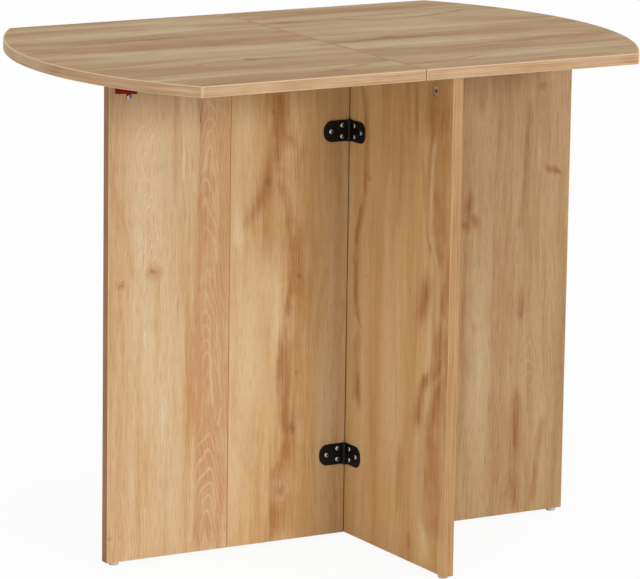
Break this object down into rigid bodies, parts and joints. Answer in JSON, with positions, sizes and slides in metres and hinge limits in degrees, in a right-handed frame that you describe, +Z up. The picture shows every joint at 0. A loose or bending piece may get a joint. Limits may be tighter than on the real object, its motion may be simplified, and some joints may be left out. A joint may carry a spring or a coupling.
{
  "type": "drop leaf table",
  "caption": "Drop leaf table with a bow-ended top on a T-shaped panel base; a hinged folding gate swings out to hold up the leaf.",
  "frame": {"origin": "on the floor below the middle of the opened top", "axes": "+X along the opened top from the drop leaf to the fixed half, +Y from front to back, +Z up"},
  "size_m": [0.9158, 0.6, 0.75],
  "materials": {
    "oak_top": "satin coated board",
    "oak_panel": "satin coated board",
    "oak_edging": "satin",
    "black_hinge": "satin",
    "zinc_screw": "zinc plated",
    "cam_metal": "die cast",
    "beech_dowel": "raw",
    "glide_plastic": "matte",
    "red_plastic": "satin"
  },
  "bodies": {
    "frame": {"fixed_top_board": "oak_top", "fixed_top_edging": "oak_edging", "cross_panel": "oak_panel", "cross_panel_edging": "oak_edging", "rib_panel": "oak_panel", "rib_panel_edging": "oak_edging", "upper_gate_hinge_fixed_plate": "black_hinge", "lower_gate_hinge_fixed_plate": "black_hinge", "upper_gate_hinge_pin": "black_hinge", "lower_gate_hinge_pin": "black_hinge", "front_leaf_hinge_fixed_plate": "black_hinge", "rear_leaf_hinge_fixed_plate": "black_hinge", "front_leaf_hinge_pin": "black_hinge", "rear_leaf_hinge_pin": "black_hinge", "cross_panel_hinge_screws": "zinc_screw", "fixed_top_hinge_screws": "zinc_screw", "cross_panel_cams": "cam_metal", "rib_top_cams": "cam_metal", "rib_end_cams": "cam_metal", "cross_panel_cam_bolts": "zinc_screw", "rib_top_cam_bolts": "zinc_screw", "rib_end_cam_bolts": "zinc_screw", "cross_panel_dowels": "beech_dowel", "rib_top_dowel": "beech_dowel", "rib_end_dowels": "beech_dowel", "cross_panel_glides": "glide_plastic", "cross_panel_glide_nails": "zinc_screw", "rib_panel_glides": "glide_plastic", "rib_panel_glide_nails": "zinc_screw"},
    "gate_inner": {"gate_inner_panel": "oak_panel", "gate_inner_edging": "oak_edging", "upper_gate_hinge_moving_plate": "black_hinge", "lower_gate_hinge_moving_plate": "black_hinge", "upper_fold_hinge_fixed_plate": "black_hinge", "lower_fold_hinge_fixed_plate": "black_hinge", "upper_fold_hinge_pin": "black_hinge", "lower_fold_hinge_pin": "black_hinge", "gate_inner_front_hinge_screws": "zinc_screw", "gate_inner_rear_hinge_screws": "zinc_screw"},
    "gate_outer": {"gate_outer_panel": "oak_panel", "gate_outer_edging": "oak_edging", "upper_fold_hinge_moving_plate": "black_hinge", "lower_fold_hinge_moving_plate": "black_hinge", "gate_outer_hinge_screws": "zinc_screw", "gate_rest_cap": "red_plastic", "gate_rest_cap_screw": "zinc_screw", "gate_outer_glides": "glide_plastic", "gate_outer_glide_nails": "zinc_screw"},
    "drop_leaf": {"drop_leaf_board": "oak_top", "drop_leaf_edging": "oak_edging", "front_leaf_hinge_moving_plate": "black_hinge", "rear_leaf_hinge_moving_plate": "black_hinge", "drop_leaf_hinge_screws": "zinc_screw"}
  },
  "joints": [
    {"name": "gate_swing", "type": "hinge", "parent": "frame", "child": "gate_inner", "pos_m": [0.0445, -0.0115, 0], "axis": [0, 0, 1], "range_deg": [0, 90]},
    {"name": "gate_fold", "type": "hinge", "parent": "gate_inner", "child": "gate_outer", "pos_m": [-0.152, 0.0115, 0], "axis": [0, 0, -1], "range_deg": [0, 180]},
    {"name": "leaf_hinge", "type": "hinge", "parent": "frame", "child": "drop_leaf", "pos_m": [0, 0, 0.7305], "axis": [0, 1, 0], "range_deg": [0, 2.5]}
  ]
}
